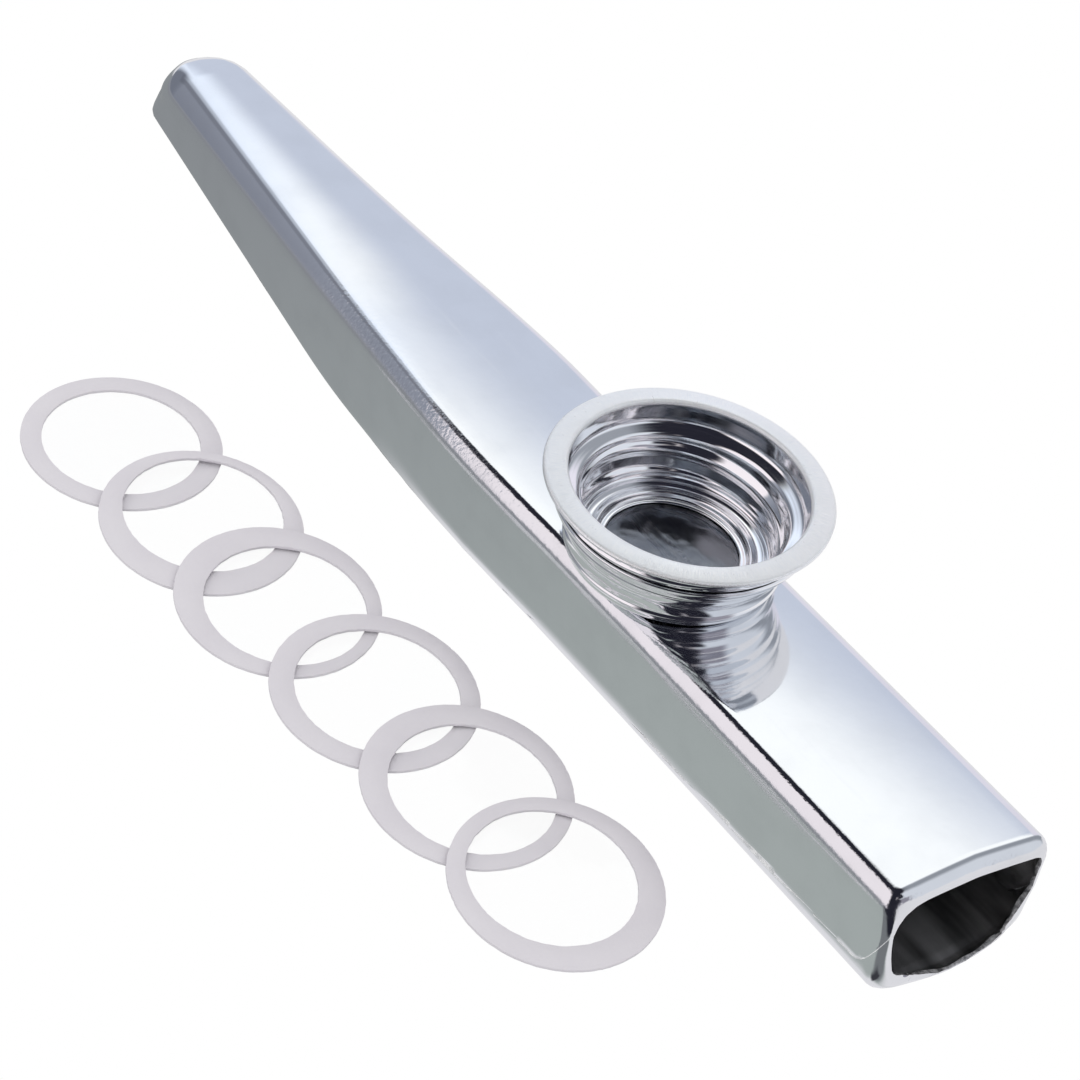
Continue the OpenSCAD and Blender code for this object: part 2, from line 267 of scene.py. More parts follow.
plated, turned, inside, paper = plated_sheet(), turned_metal(), dark_inside(), coated_paper()
# A painted highlight: the strip under the seam is near white with little metal, for the light line
# along the seam
highlight_strip = cut_edge("highlight_strip", (0.95, 0.95, 0.96), (0.68, 0.69, 0.71), 0.3)
frayed_edge = cut_edge("frayed_edge", (0.62, 0.62, 0.64), (0.10, 0.10, 0.11), 0.5)
thin_film = clear_film("thin_film", 0.012, (0.9, 0.92, 0.95))
drum_film = clear_film("drum_film", 0.2, (0.62, 0.66, 0.74))

# Mesh tools. In metres: how near two points are one, and how near to a fine or a plain cut a
# point counts as on it
NO_WIDTH, FINE_CUT, PLAIN_CUT = 1e-7, 1e-6, 1e-4


def only(obj):
    """Selects obj alone and makes it active."""
    if bpy.context.object and bpy.context.object.mode != "OBJECT":
        bpy.ops.object.mode_set(mode="OBJECT")
    bpy.ops.object.select_all(action="DESELECT")
    obj.select_set(True)
    bpy.context.view_layer.objects.active = obj


def edit(obj, kind="VERT"):
    """Opens obj in edit mode with nothing selected."""
    only(obj)
    bpy.ops.object.mode_set(mode="EDIT")
    bpy.ops.mesh.select_mode(type=kind)
    bpy.ops.mesh.select_all(action="DESELECT")


def leave():
    bpy.ops.object.mode_set(mode="OBJECT")


def pick(obj, kind, test):
    """In edit mode, selects the vertices, edges or faces that pass the test."""
    bm = bmesh.from_edit_mesh(obj.data)
    for item in getattr(bm, kind):
        item.select = bool(test(item))
    bm.select_flush_mode()
    bmesh.update_edit_mesh(obj.data)


def named(name):
    """Names the new primitive and puts its place into its mesh."""
    obj = bpy.context.object
    obj.name = obj.data.name = name
    bpy.ops.object.transform_apply(location=True, rotation=True, scale=True)
    return obj


def apply(obj, kind, **settings):
    only(obj)
    made = obj.modifiers.new(kind.lower(), kind)
    for key, value in settings.items():
        setattr(made, key, value)
    bpy.ops.object.modifier_apply(modifier=made.name)


def copy_of(obj, name):
    made = obj.copy()
    made.data = obj.data.copy()
    made.name = made.data.name = name
    bpy.context.scene.collection.objects.link(made)
    return made


def keep(obj, test):
    """Deletes the faces of obj that fail the test on their centre in mm."""
    edit(obj, "FACE")
    pick(obj, "faces", lambda f: not test(f.calc_center_median() / MM))
    bpy.ops.mesh.delete(type="FACE")
    leave()


def paint(obj, *paints):
    obj.data.materials.clear()
    for one in paints:
        obj.data.materials.append(one)


def round_edges(obj, width, angle):
    apply(obj, "BEVEL", width=width * MM, segments=2, limit_method="ANGLE",
          angle_limit=math.radians(angle))


def smooth(obj, angle):
    only(obj)
    bpy.ops.object.shade_smooth_by_angle(angle=math.radians(angle))


# The body, in mm. Its ends, and its half width and height in front
FRONT, BACK, HALF_W, TOP = 41.0, -79.0, 8.5, 10.4
# Behind their bends the sides draw in, and the keel and the top rise
SIDE_BEND, SIDE_SLOPE = -25.5, 4.0 / 53.5
KEEL_BEND, KEEL_SLOPE, TOP_SLOPE = -39.7, 5.35 / 39.3, 1.1 / 39.3
BEND_HALF = 4.0
# The sheet's thickness and the gap at the seam
SHEET, GAP = 0.5, 0.05
# The lap's thickness, how far it stands over the seam and reaches under it, and its front end
LAP, LAP_H, LAP_FOOT, LAP_END = 0.4, 1.5, 0.35, 36.0
# The seam's height over the keel, its rise towards the front, and its climb to the opening
SEAM_H, SEAM_RISE, CLIMB, CLIMB_L = 0.7, 1.7, 4.2, 3.0
# The lower shell's top edge is painted light as a highlight this far down, give or take, in front
# of a place
SEAM_EDGE, EDGE_SLACK, SEAM_HIGHLIGHT_X = 0.15, 0.02, 6.0
# The long edges' radius, its most as a share of the height, and its change towards the mouth
EDGE_R, EDGE_MOST_SHARE, UPPER_GROWS, LOWER_SHRINKS = 1.75, 0.45, 0.75, 0.9
# The radius of the lip that is turned in at the opening
LIP_R = 1.3
# The mouth end's corners are nearly square below the notch, and round above it
SQUARE_R, SQUARE_GROWS, SQUARE_Z = 2.3, 1.3, 5.4
NOSE_R, NOTCH_Z, NOTCH_H = 4.15, 7.5, 0.3
# The keel's rounding there, and how far the top comes down, over which length
FOOT_R, NOSE_DROP, NOSE_L = 0.35, 2.7, 4.6
# The top is crowned, more so towards the mouth
CROWN, CROWN_BACK, CROWN_X = 0.28, 0.35, -60
# The pressed sides swell out unevenly: how far, where and how long
LEFT_SWELL, RIGHT_SWELL = (0.42, -36, 12), (0.34, -16, 9)
# The left side's swell in front: how far, from where, and between which heights
FRONT_SWELL, SWELL_X, SWELL_LOW, SWELL_HIGH = 0.35, 5, 2, 7
# The mouth end stands a little to the left
DRIFT, DRIFT_X = 0.3, -45
# The sound hole under the turret, and the slot, which is cut within a length of the mouth end
HOLE_R, HOLE_SIDES, HOLE_DEPTH = 5.9, 96, 3
SLOT_W, SLOT_H, END_L = 5.2, 1.5, 1.5
# Cuts of the outline's corners and of its sides, which are longer than the last value
EDGE_CUTS, SIDE_CUTS, LONG_SIDE = 10, 13, 3
# The open front leans back at its top: how far, from where, and between which heights
LEAN, LEAN_X, LEAN_LOW, LEAN_HIGH = 0.95, 35, 1, 9
# It leans less on the left: by what share, and between which places across
LESS_LEFT_SHARE, LEFT_FROM, LEFT_FULL = 0.55, 1, 7
# The opening's lower edge bulges: how far, from where, and between which heights and places
BULGE, BULGE_X, BULGE_LOW, BULGE_HIGH = 0.9, 36, 1, 4
BULGE_Y, BULGE_HALF = -1, 7.5
# The cut edge frays forwards and upwards at the bottom, in long and short teeth
FRAY, FRAY_UP, FRAY_L, FRAY_LOW, FRAY_HIGH = 0.13, 0.05, 0.05, 2.0, 3.2
LONG_TEETH, LONG_SEED, SHORT_TEETH, SHORT_SEED = 2.3, 4, 7, 1
# The sheet's own edges: their rounding, from which angle, and up to which angle they look smooth
SHEET_EDGE, SHEET_ANGLE, SHEET_SMOOTH = 0.05, 60, 30
# How near is near enough, along the body and elsewhere, and the limit of Solidify's clamp
NEAR, CLOSE, SHEET_CLAMP = 0.1, 0.01, 0.8
# Corners of the opening as (y, z), seen from the front, with its cut lower edge uneven
OPENING = [(7.66, 5.1), (7.7, 7.0), (7.85, 7.9), (7.5, 8.6), (6.9, 8.85), (4.5, 8.92), (0.3, 8.96),
           (-3.0, 8.98), (-4.7, 8.95), (-5.7, 8.75), (-6.7, 8.22), (-7.3, 7.4), (-7.6, 6.35),
           (-7.45, 5.0), (-7.2, 3.7), (-6.95, 2.5), (-6.5, 2.1), (-4.4, 1.5), (-1.2, 0.75),
           (0.8, 0.9), (2.5, 0.8), (5.0, 1.0), (5.74, 1.5), (6.73, 2.87)]
# The opening's middle, and a length that reaches past its edge from there
OPENING_MIDDLE, FAR = Vector((0, 5)), 30
# Rows of points along the body, from the mouth end to the lip and round it
NOSE = [BACK + NOSE_R * (1 - math.sin(math.radians(a))) for a in (90, 78, 66, 54, 42, 30, 15, 0)]
STATIONS = NOSE + [-74, -71, -68, -65, -62, -59, -56, -53, -50, -47.5, -45, -43.5, -42, -40.5,
                   -39, -37.5, -36, -34, -32, -30, -29, -28, -27, -26, -25, -24, -23, -22, -21,
                   -16, -10, -7, 7, 10, 16, 22, 28, 33, 36, 37, 37.8, 38.4, 39, 39.35]
LIP_X = FRONT - LIP_R
LIP_ROWS = [LIP_X + LIP_R * math.sin(math.radians(a)) for a in (15, 30, 45, 60, 75, 90)]
ROWS = [BACK - 1] + STATIONS + [LIP_X] + LIP_ROWS
# Places of the shells' paints in their lists
PLATED, INSIDE, BRIGHT, FRAYED = range(4)


def ramp(value, low, high):
    return max(0.0, min(1.0, (value - low) / (high - low)))


def soft(d):
    """Distance past a bend, with the bend itself rounded."""
    if d <= -BEND_HALF:
        return 0.0
    return d if d >= BEND_HALF else (d + BEND_HALF) ** 2 / (4 * BEND_HALF)


def half_w(x):
    return HALF_W - SIDE_SLOPE * soft(SIDE_BEND - x)


def base_z(x):
    return KEEL_SLOPE * soft(KEEL_BEND - x)


def top_z(x):
    return TOP + TOP_SLOPE * soft(KEEL_BEND - x)


def seam_z(x):
    x = max(BACK, min(FRONT, x))
    climb = ramp(x, FRONT - CLIMB_L, FRONT)
    return base_z(x) + SEAM_H + SEAM_RISE * ramp(x, SIDE_BEND, FRONT) + CLIMB * climb ** 2


def drop(x, r):
    """How far a corner of radius r draws in at the mouth end."""
    d = max(0.0, min(r, r + BACK - x))
    return r - math.sqrt(max(0.0, r * r - d * d))


def nose_drop(x):
    """How far the top comes down over the rounded end of the mouth."""
    t = 1 - ramp(x, BACK, BACK + NOSE_L)
    return NOSE_DROP * (1 - math.sqrt(1 - t * t))


def nose_corner(z):
    """Radius of the mouth end's upright corners at a height."""
    r = SQUARE_R + SQUARE_GROWS * ramp(z, SQUARE_Z, NOTCH_Z)
    return r + (NOSE_R - r) * ramp(z, NOTCH_Z, NOTCH_Z + NOTCH_H)


def swell_at(x, side):
    out, middle, length = side
    return out * math.exp(-((x - middle) / length) ** 2)


def opening_at(y, z):
    """Where the line from the opening's middle through (y, z) crosses its edge."""
    way = (Vector((y, z)) - OPENING_MIDDLE).normalized()
    for a, b in zip(OPENING, OPENING[1:] + OPENING[:1]):
        hit = geometry.intersect_line_line_2d(
            OPENING_MIDDLE, OPENING_MIDDLE + way * FAR, Vector(a), Vector(b))
        if hit:
            return hit


def squeeze(value, half, flat, new_half, new_flat):
    """Carries a place in one rounded section over to another."""
    side, size = (1 if value > 0 else -1), abs(value)
    if size <= flat:
        return side * size * new_flat / flat
    return side * (new_flat + (size - flat) * (new_half - new_flat) / (half - flat))


def on_skin(x, y, z):
    """Place on the skin of a point (y, z) of the plain rounded outline, at x."""
    at = min(x, LIP_X)
    back = 1 - ramp(at, BACK, SIDE_BEND)
    top, base = top_z(at) - nose_drop(at), base_z(at) + drop(at, FOOT_R)
    half, middle = (top - base) / 2, (top + base) / 2
    r = EDGE_R + (UPPER_GROWS if z > TOP / 2 else -LOWER_SHRINKS) * back
    r = min((top - base) * EDGE_MOST_SHARE, r)
    new_z = middle + squeeze(z - TOP / 2, TOP / 2, TOP / 2 - EDGE_R, half, half - r)
    w = half_w(at) - drop(at, nose_corner(new_z))
    new_y = squeeze(y, HALF_W, HALF_W - EDGE_R, w, w - min(r, w * 2 * EDGE_MOST_SHARE))
    crown = CROWN + CROWN_BACK * (1 - ramp(at, CROWN_X, SIDE_BEND))
    new_z -= crown * (new_y / w) ** 2 * max(0.0, new_z - middle) / half
    if new_y > 0:
        front = ramp(at, SWELL_X, LIP_X) * ramp(new_z, SWELL_LOW, SWELL_HIGH)
        swell = swell_at(at, LEFT_SWELL) + FRONT_SWELL * front
    else:
        swell = swell_at(at, RIGHT_SWELL)
    new_y += swell * new_y / w + DRIFT * (1 - ramp(at, BACK, DRIFT_X))
    turned_in = 1 - math.sqrt(1 - min(1.0, max(0.0, x - LIP_X) / LIP_R) ** 2)
    if turned_in > 0:
        edge = opening_at(new_y, new_z)
        new_y += (edge.x - new_y) * turned_in
        new_z += (edge.y - new_z) * turned_in
    return new_y, new_z


def rounded_outline():
    """The plain section of the body at its lip: a rounded ring of edges."""
    bpy.ops.object.select_all(action="DESELECT")
    bpy.ops.mesh.primitive_plane_add(
        size=1, location=(LIP_X * MM, 0, TOP / 2 * MM), rotation=(0, math.pi / 2, 0))
    bpy.context.object.scale = (TOP * MM, 2 * HALF_W * MM, 1)
    skin = named("body_skin")
    edit(skin)
    bpy.ops.mesh.select_all(action="SELECT")
    bpy.ops.mesh.bevel(offset=EDGE_R * MM, segments=EDGE_CUTS, affect="VERTICES")
    bpy.ops.mesh.select_mode(type="EDGE")
    pick(skin, "edges", lambda e: e.calc_length() > LONG_SIDE * MM)
    bpy.ops.mesh.subdivide(number_cuts=SIDE_CUTS)
    bpy.ops.mesh.select_mode(type="FACE")
    bpy.ops.mesh.select_all(action="SELECT")
    bpy.ops.mesh.delete(type="ONLY_FACE")
    leave()
    return skin


def draw_out(skin):
    """Extrudes the outline from station to station, back to the closed mouth and on to the lip."""
    edit(skin)
    for rows in (STATIONS[::-1], LIP_ROWS):
        bpy.ops.mesh.select_mode(type="EDGE")
        pick(skin, "edges", lambda e: all(abs(v.co.x - LIP_X * MM) < NO_WIDTH for v in e.verts))
        at = LIP_X
        for x in rows:
            bpy.ops.mesh.extrude_region_move(
                TRANSFORM_OT_translate={"value": ((x - at) * MM, 0, 0)})
            at = x
        if rows is not LIP_ROWS:
            bpy.ops.mesh.edge_face_add()
    leave()


def split_mouth_end(skin):
    """Splits the mouth end's one face at the rows of points up its sides."""
    edit(skin)
    for row in range(1, SIDE_CUTS + 1):
        height = EDGE_R + row * (TOP - 2 * EDGE_R) / (SIDE_CUTS + 1)
        bpy.ops.mesh.select_mode(type="FACE")
        pick(skin, "faces", lambda f: f.calc_center_median().x < (BACK + CLOSE) * MM)
        bpy.ops.mesh.bisect(plane_co=(0, 0, height * MM), plane_no=(0, 0, 1), threshold=FINE_CUT)
    bpy.ops.mesh.select_all(action="SELECT")
    bpy.ops.mesh.normals_make_consistent(inside=False)
    leave()


def body_skin():
    """The tube's outer skin: an outline drawn out straight, then pressed to shape."""
    skin = rounded_outline()
    draw_out(skin)
    split_mouth_end(skin)
    for v in skin.data.vertices:
        x, y, z = v.co / MM
        y, z = on_skin(x, y, z)
        v.co.y, v.co.z = y * MM, z * MM
    return skin


def cut_along_seam(skin, offset, fine):
    """Cuts the skin along the seam, or along a line beside it, one stretch after another."""
    edit(skin, "FACE")
    for a, b in zip(ROWS, ROWS[1:]):
        za, zb = (seam_z(x) + offset for x in (a, b))
        pick(skin, "faces", lambda f: a * MM < f.calc_center_median().x < b * MM)
        bpy.ops.mesh.bisect(plane_co=(a * MM, 0, za * MM), plane_no=(za - zb, 0, b - a),
                            threshold=FINE_CUT if fine and a > SEAM_HIGHLIGHT_X else PLAIN_CUT)
    leave()


def over_seam(c, offset=0.0):
    """Whether a face's centre is over the seam, which is straight from row to row."""
    a, b = next((a, b) for a, b in zip(ROWS, ROWS[1:]) if c.x <= b or b == FRONT)
    part = ramp(c.x, a, b)
    return c.z > seam_z(a) * (1 - part) + seam_z(b) * part + offset


def cut_mouth_slot(obj):
    """Opens the slot in the closed mouth end: cuts along its four sides, then drops its faces."""
    low = seam_z(BACK) + SHEET
    high = low + SLOT_H
    edit(obj, "FACE")
    for place, normal in (((0, SLOT_W / 2, 0), (0, 1, 0)), ((0, -SLOT_W / 2, 0), (0, 1, 0)),
                          ((0, 0, low), (0, 0, 1)), ((0, 0, high), (0, 0, 1))):
        pick(obj, "faces", lambda f: f.calc_center_median().x < (BACK + END_L) * MM)
        bpy.ops.mesh.bisect(plane_co=[c * MM for c in place], plane_no=normal, threshold=FINE_CUT)
    leave()
    keep(obj, lambda c: c.x > BACK + END_L or abs(c.y) > SLOT_W / 2 or not low < c.z < high)


def lean_and_fray(obj):
    """Leans the open front back at its top, and bulges and frays the cut edge at its bottom."""
    for v in obj.data.vertices:
        x, y, z = v.co / MM
        cut = ramp(x, FRONT - FRAY_L, FRONT) * (1 - ramp(z, FRAY_LOW, FRAY_HIGH))
        rough = (noise.noise(Vector((y * LONG_TEETH, 0, LONG_SEED)))
                 + noise.noise(Vector((y * SHORT_TEETH, 0, SHORT_SEED))))
        lean = LEAN * (1 - LESS_LEFT_SHARE * ramp(y, LEFT_FROM, LEFT_FULL))
        lean *= ramp(x, LEAN_X, LIP_X) * ramp(z, LEAN_LOW, LEAN_HIGH)
        bulge = BULGE * (1 - min(1, abs(y - BULGE_Y) / BULGE_HALF) ** 2)
        bulge *= ramp(x, BULGE_X, LIP_X) * (1 - ramp(z, BULGE_LOW, BULGE_HIGH))
        v.co.x += (FRAY * cut * rough - lean + bulge) * MM
        v.co.z += FRAY_UP * cut * rough * MM


def part_at_seam(shell, rise):
    """Moves a shell's edge along the seam up or down by half the gap."""
    edit(shell)
    pick(shell, "verts", lambda v: v.is_boundary and v.co.x < (LAP_END - NEAR) * MM
         and abs(v.co.z / MM - seam_z(v.co.x / MM)) < CLOSE)
    bpy.ops.transform.translate(value=(0, 0, rise * MM))
    leave()


def paint_seam_highlight(shell):
    """Gives the strip under the seam its own paint: a painted highlight."""
    for face in shell.data.polygons:
        c = face.center / MM
        if c.x > SEAM_HIGHLIGHT_X and over_seam(c, EDGE_SLACK - SEAM_EDGE):
            face.material_index = BRIGHT


def thicken(shell, inset):
    """Turns a skin into sheet. The lap lies inside the upper shell, so it is set in first."""
    if inset:
        apply(shell, "DISPLACE", strength=-inset * MM, mid_level=0.0, direction="NORMAL")
    apply(shell, "SOLIDIFY", thickness=(LAP if inset else SHEET) * MM, offset=-1,
          use_even_offset=bool(inset), material_offset=PLATED if inset else INSIDE,
          material_offset_rim=FRAYED, thickness_clamp=SHEET_CLAMP)


def body_shells():
    """The upper and the lower shell, the lower one joined with its lap."""
    skin = body_skin()
    for offset, fine in ((0.0, True), (LAP_H, False), (-LAP_FOOT, False), (-SEAM_EDGE, True)):
        cut_along_seam(skin, offset, fine)
    upper, lower, lap = (copy_of(skin, n) for n in ("upper_body", "lower_body", "lap"))
    keep(upper, over_seam)
    keep(lower, lambda c: not over_seam(c))
    keep(lap, lambda c: over_seam(c, -LAP_FOOT) and not over_seam(c, LAP_H) and c.x < LAP_END)
    cut_mouth_slot(upper)
    for shell, rise, inset in ((upper, GAP / 2, 0), (lower, -GAP / 2, 0), (lap, 0, SHEET + GAP)):
        part_at_seam(shell, rise)
        paint(shell, plated, inside, highlight_strip, frayed_edge)
        if shell is lower:
            paint_seam_highlight(shell)
        lean_and_fray(shell)
        thicken(shell, inset)
    bpy.ops.object.select_all(action="DESELECT")
    bpy.ops.mesh.primitive_cylinder_add(vertices=HOLE_SIDES, radius=HOLE_R * MM,
                                        depth=HOLE_DEPTH * MM, location=(0, 0, TOP * MM))
    hole = named("sound_hole")
    apply(upper, "BOOLEAN", operation="DIFFERENCE", object=hole, solver="EXACT")
    only(lower)
    lap.select_set(True)
    bpy.ops.object.join()
    for helper in (skin, hole):
        bpy.data.objects.remove(helper)
    return upper, lower


for shell, node in zip(body_shells(), ("upper_shell", "lower_shell")):
    round_edges(shell, SHEET_EDGE, SHEET_ANGLE)
    smooth(shell, SHEET_SMOOTH)
    apply(shell, "WEIGHTED_NORMAL", keep_sharp=True, weight=80)
    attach(shell, "kazoo")
    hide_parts(node)

# The turret, in mm from the body's top
SPUN_STEPS, SPUN_SMOOTH, PITCH = 144, 50, 2.6
# The cap's inner wall narrows over its first rows on the way down, and its outer wall flares up
INNER_R, INNER_Z, NARROWS, NARROW_ROWS, INNER_ROWS, INNER_ROW = 9.0, 4.5, 0.45, 22, 24, 0.12
OUTER_R, OUTER_Z, FLARES, OUTER_ROWS, OUTER_ROW = 10.95, 5.72, 0.35, 24, 0.07
# Heights and radii of the cap's grooved walls, and of the socket's, which leans outwards
THREAD_LOW, THREAD_HIGH, THREAD_OUT_HIGH = 1.6, 5.6, 5.3
THREAD_R, THREAD_OUT_R, THREAD_MOST_R = 8.3, 9.03, 9.5
FLARE_LOW, FLARE_HIGH, FLARE_R = 5.75, 7.42, 10.6
CUP_LOW, CUP_HIGH, CUP_R, CUP_LEAN = 2.3, 5.0, 9.4, 0.4
THREAD_LEAD, THREAD_SHARE = 0.1, 0.6


def spun(name, outline):
    """A closed outline of (radius, height) in mm, drawn point by point and spun about Z."""
    bpy.ops.object.select_all(action="DESELECT")
    bpy.ops.mesh.primitive_plane_add(size=MM, location=(0, 0, 0))
    obj = named(name)
    edit(obj)
    pick(obj, "verts", lambda v: v.index > 0)
    bpy.ops.mesh.delete(type="VERT")
    bpy.ops.mesh.select_all(action="SELECT")
    bm = bmesh.from_edit_mesh(obj.data)
    start = bm.verts[:][0].co.copy()
    points = [Vector((r * MM, 0, z * MM)) for r, z in outline]
    bpy.ops.transform.translate(value=points[0] - start)
    for at, point in zip(points, points[1:]):
        bpy.ops.mesh.extrude_region_move(TRANSFORM_OT_translate={"value": point - at})
    ends = (points[0], points[-1])
    pick(obj, "verts", lambda v: min((v.co - e).length for e in ends) < NO_WIDTH)
    bpy.ops.mesh.edge_face_add()
    bpy.ops.mesh.select_all(action="SELECT")
    bpy.ops.mesh.spin(steps=SPUN_STEPS, angle=math.tau, center=(0, 0, 0), axis=(0, 0, 1))
    bpy.ops.mesh.select_all(action="SELECT")
    bpy.ops.mesh.remove_doubles(threshold=NO_WIDTH)
    bpy.ops.mesh.normals_make_consistent(inside=False)
    leave()
    return obj


def curve(points, per=4):
    """Points of a smooth line through the given ones."""
    out = []
    last = len(points) - 1
    for i in range(last):
        near = (points[max(0, i - 1)], points[i], points[i + 1], points[min(last, i + 2)])
        for k in range(per):
            t = k / per
            out.append(tuple(
                0.5 * (2 * b + (c - a) * t + (2 * a - 5 * b + 4 * c - d) * t * t
                       + (3 * b - a - 3 * c + d) * t ** 3)
                for a, b, c, d in zip(*near)))
    return out + [points[-1]]


# Rolled turns on a stretch of a spun wall. The wall is a test of radius and height, the depth
# fades over both ends, the lead is in turns, and the groove is a share of the pitch
Turns = namedtuple("Turns", "wall low high fade_low fade_high depth lead starts pitch groove_share",
                   defaults=(0.0, 1, PITCH, 1.0))


def roll_turns(obj, *stretches):
    """Rolls turns into the stretches of a spun wall: their points move along the radius."""
    for v in obj.data.vertices:
        r, z = math.hypot(v.co.x, v.co.y) / MM, v.co.z / MM
        here = next((t for t in stretches if t.low < z < t.high and t.wall(r, z)), None)
        if here is None:
            continue
        fade = max(0.0, min(1, (z - here.low) / here.fade_low, (here.high - z) / here.fade_high))
        turn = math.atan2(v.co.y, v.co.x) / math.tau
        phase = (here.starts * (z / here.pitch - turn + here.lead)) % 1.0
        wave = math.sin(math.pi * phase / here.groove_share) if phase < here.groove_share else 0
        scale = (r + here.depth * fade * wave) / r
        v.co.x *= scale
        v.co.y *= scale


def cap_outline():
    """The cap: from the rim's edge over the top, down inside, under the flange and up outside."""
    inner = curve([(12.55, 7.88), (12.38, 8.04), (12.0, 8.13), (11.4, 8.22), (10.8, 8.26),
                   (10.55, 8.2), (10.4, 8.0), (10.35, 7.6), (10.34, 6.9), (10.32, 6.4),
                   (10.2, 6.05), (9.75, 5.84), (9.3, 5.66), (9.1, 5.4), (9.02, 4.9),
                   (INNER_R, INNER_Z)])
    wall_in = [(INNER_R - NARROWS * min(1, i / NARROW_ROWS), INNER_Z - INNER_ROW * i)
               for i in range(1, INNER_ROWS + 1)]
    floor_in = curve([(8.5, 1.55), (8.38, 1.36), (8.15, 1.26), (7.9, 1.3), (7.7, 1.22),
                      (7.3, 1.12), (6.95, 1.2), (6.75, 1.22), (6.6, 1.08), (6.52, 0.86),
                      (6.4, 0.74), (6.15, 0.72), (5.98, 0.68), (5.9, 0.62)], 3)
    flange = [(5.9, 0.56), (6.3, 0.54), (6.6, 0.62), (6.8, 0.85), (7.2, 0.87), (8.2, 0.87)]
    outer_low = curve([(8.75, 0.95), (8.95, 1.3), (9.04, 1.7), (9.07, 2.2), (9.12, 2.7),
                       (9.17, 3.2), (9.23, 3.7), (9.29, 4.2), (9.35, 4.7), (9.4, 5.1),
                       (9.6, 5.6), (10.2, 5.62), (10.8, 5.5), (10.93, 5.6)])
    outer_top = [(OUTER_R + FLARES * (k / OUTER_ROWS) ** 2, OUTER_Z + OUTER_ROW * k)
                 for k in range(OUTER_ROWS + 1)]
    under_rim = curve([(11.38, 7.42), (11.7, 7.52), (12.1, 7.6), (12.4, 7.68), (12.55, 7.76)], 3)
    return inner + wall_in + floor_in + flange + outer_low + outer_top + under_rim


def socket_outline():
    """The socket: from its hole out over the foot's two ridges, over its lip and down inside."""
    outside = curve([(8.5, 0.02), (9.0, 0.16), (9.32, 0.5), (9.4, 0.8), (9.5, 1.0), (9.58, 1.15),
                     (9.5, 1.32), (9.44, 1.5), (9.46, 2.0), (9.6, 2.6), (9.85, 3.2), (10.1, 3.75),
                     (10.32, 4.1), (10.5, 4.3), (10.48, 4.5), (10.55, 4.7), (10.8, 4.9),
                     (10.98, 5.05), (11.16, 5.2), (11.24, 5.36), (11.24, 5.54), (11.17, 5.66),
                     (11.06, 5.68), (11.0, 5.6)])
    within = curve([(10.95, 5.3), (10.6, 5.0), (10.15, 4.6), (9.95, 4.1), (9.6, 3.3), (9.25, 2.4),
                    (9.12, 1.4), (9.08, 0.9), (8.9, 0.55), (8.5, 0.42), (7.6, 0.4), (5.9, 0.4)], 3)
    return [(5.9, 0.0), (6.6, 0.0), (7.6, 0.0)] + outside + within


CAP_TURNS = (
    Turns(lambda r, z: THREAD_R < r < THREAD_OUT_R, THREAD_LOW, THREAD_HIGH,
          fade_low=0.5, fade_high=0.5, depth=-0.42, lead=THREAD_LEAD, groove_share=THREAD_SHARE),
    Turns(lambda r, z: THREAD_OUT_R <= r < THREAD_MOST_R, THREAD_LOW, THREAD_OUT_HIGH,
          fade_low=0.4, fade_high=0.4, depth=-0.28, lead=THREAD_LEAD, groove_share=THREAD_SHARE),
    Turns(lambda r, z: r > FLARE_R, FLARE_LOW, FLARE_HIGH,
          fade_low=0.25, fade_high=0.2, depth=0.24, lead=THREAD_LEAD, starts=4))
SOCKET_TURNS = (
    Turns(lambda r, z: r > CUP_R + CUP_LEAN * (z - CUP_LOW), CUP_LOW, CUP_HIGH,
          fade_low=0.6, fade_high=0.3, depth=0.18, pitch=PITCH / 2),)

cap = spun("turret_cap_turned", cap_outline())
roll_turns(cap, *CAP_TURNS)
socket = spun("turret_socket_spun", socket_outline())
roll_turns(socket, *SOCKET_TURNS)
for obj, node, body, name in ((cap, "turret_cap", "cap", "bright_chrome"),
                              (socket, "turret_socket", "kazoo", "chrome")):
    obj.data.transform(Matrix.Translation((0, 0, TOP * MM)))
    paint(obj, turned)
    smooth(obj, SPUN_SMOOTH)
    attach(obj, body)
    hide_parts(node)

# Membranes, in mm. The die's nominal radius, the ring's own two radii, and one between them that
# parts the points of its rim from those of its hole
DIE_R, RING_R, RING_HOLE_R, PARTING_R, RING_POINTS = 9, 8.98, 7.08, 8.5, 160
# The paper's thickness, its edges' rounding, from which angle, and up to which it looks smooth
PAPER, PAPER_EDGE, PAPER_ANGLE, PAPER_SMOOTH = 0.29, 0.035, 50, 35
# The edges are ragged by this much, but the rim stands out by only a share of it
RAGGED, RAGGED_OUT_SHARE = 0.045, 0.1
# The ragged waves per mm, and the short ones' share
LONG_WAVES, SHORT_WAVES, SHORT_WAVE_SHARE, SHORT_WAVE_SEED = 1.7, 6, 0.5, 9
# The first spare's place, and the step to the next
FIRST_X, FIRST_Y, STEP_X, STEP_Y = -40.9, -28.7, 12.1, 0.86
# How much higher each spare's end lies on the one before it, and the air between them
STACKED, STACK_GAP = 0.36, 0.1
# Heights of the spares and of the fitted membrane over the floor
SPARE_Z, FITTED_Z, FITTED_SEED = 0.065, TOP + 0.465, 11
# Shares of the die's radius by which each spare, and the hole in it, is off its place
PLACE_SHARES = [(0.004, 0.015), (0.02, 0.0), (-0.063, -0.02), (0.01, 0.05), (0.045, 0.045),
                (0.03, -0.005)]
HOLE_SHARES = [(-0.01, 0.0), (-0.08, 0.068), (0.075, 0.036), (0.0, 0.027), (0.05, 0.026),
               (-0.065, 0.0)]


